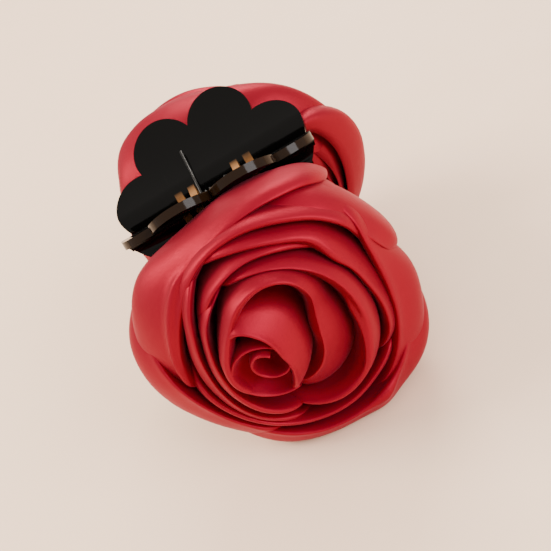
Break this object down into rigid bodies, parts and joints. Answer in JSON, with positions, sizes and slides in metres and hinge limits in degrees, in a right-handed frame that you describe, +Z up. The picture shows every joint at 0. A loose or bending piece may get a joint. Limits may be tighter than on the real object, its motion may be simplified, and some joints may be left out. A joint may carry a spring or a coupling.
{
  "type": "flower hair clip",
  "caption": "Double-sided claw hair clip: hinged black plastic jaws with scalloped handles, a steel torsion spring and a rolled red satin rose on each outer side.",
  "frame": {"origin": "on the surface the clip stands on, under the middle of the hinge pin", "axes": "+X along the hinge pin, +Y from the front half to the back half, +Z up, from the teeth to the handles"},
  "size_m": [0.0812, 0.123, 0.0803],
  "materials": {
    "satin_front": "satin",
    "satin_back": "satin",
    "felt": "matte",
    "set_glue": "satin",
    "black_plastic": "gloss",
    "pin_steel": "satin",
    "spring_steel": "polished"
  },
  "bodies": {
    "back_half": {"back_jaw": "black_plastic", "hinge_pin": "pin_steel", "torsion_spring": "spring_steel", "back_felt_backing": "felt", "back_glue_pad": "set_glue", "back_petal_heart_1": "satin_back", "back_petal_heart_2": "satin_back", "back_petal_inner_1": "satin_back", "back_petal_inner_2": "satin_back", "back_petal_inner_3": "satin_back", "back_petal_middle_1": "satin_back", "back_petal_middle_2": "satin_back", "back_petal_middle_3": "satin_back", "back_petal_middle_4": "satin_back", "back_petal_outer_1": "satin_back", "back_petal_outer_2": "satin_back", "back_petal_outer_3": "satin_back", "back_petal_outer_4": "satin_back", "back_petal_outer_5": "satin_back", "back_rose_bud": "satin_back"},
    "front_half": {"front_jaw": "black_plastic", "front_felt_backing": "felt", "front_glue_pad": "set_glue", "front_petal_heart_1": "satin_front", "front_petal_heart_2": "satin_front", "front_petal_inner_1": "satin_front", "front_petal_inner_2": "satin_front", "front_petal_inner_3": "satin_front", "front_petal_middle_1": "satin_front", "front_petal_middle_2": "satin_front", "front_petal_middle_3": "satin_front", "front_petal_middle_4": "satin_front", "front_petal_outer_1": "satin_front", "front_petal_outer_2": "satin_front", "front_petal_outer_3": "satin_front", "front_petal_outer_4": "satin_front", "front_petal_outer_5": "satin_front", "front_rose_bud": "satin_front"}
  },
  "joints": [
    {"name": "jaw_hinge", "type": "hinge", "parent": "back_half", "child": "front_half", "pos_m": [0, 0, 0.06245], "axis": [-1, 0, 0], "range_deg": [0, 50], "stiffness_Nm_per_rad": 0.12, "springref_deg": -57.3, "deforming": ["torsion_spring"]}
  ]
}
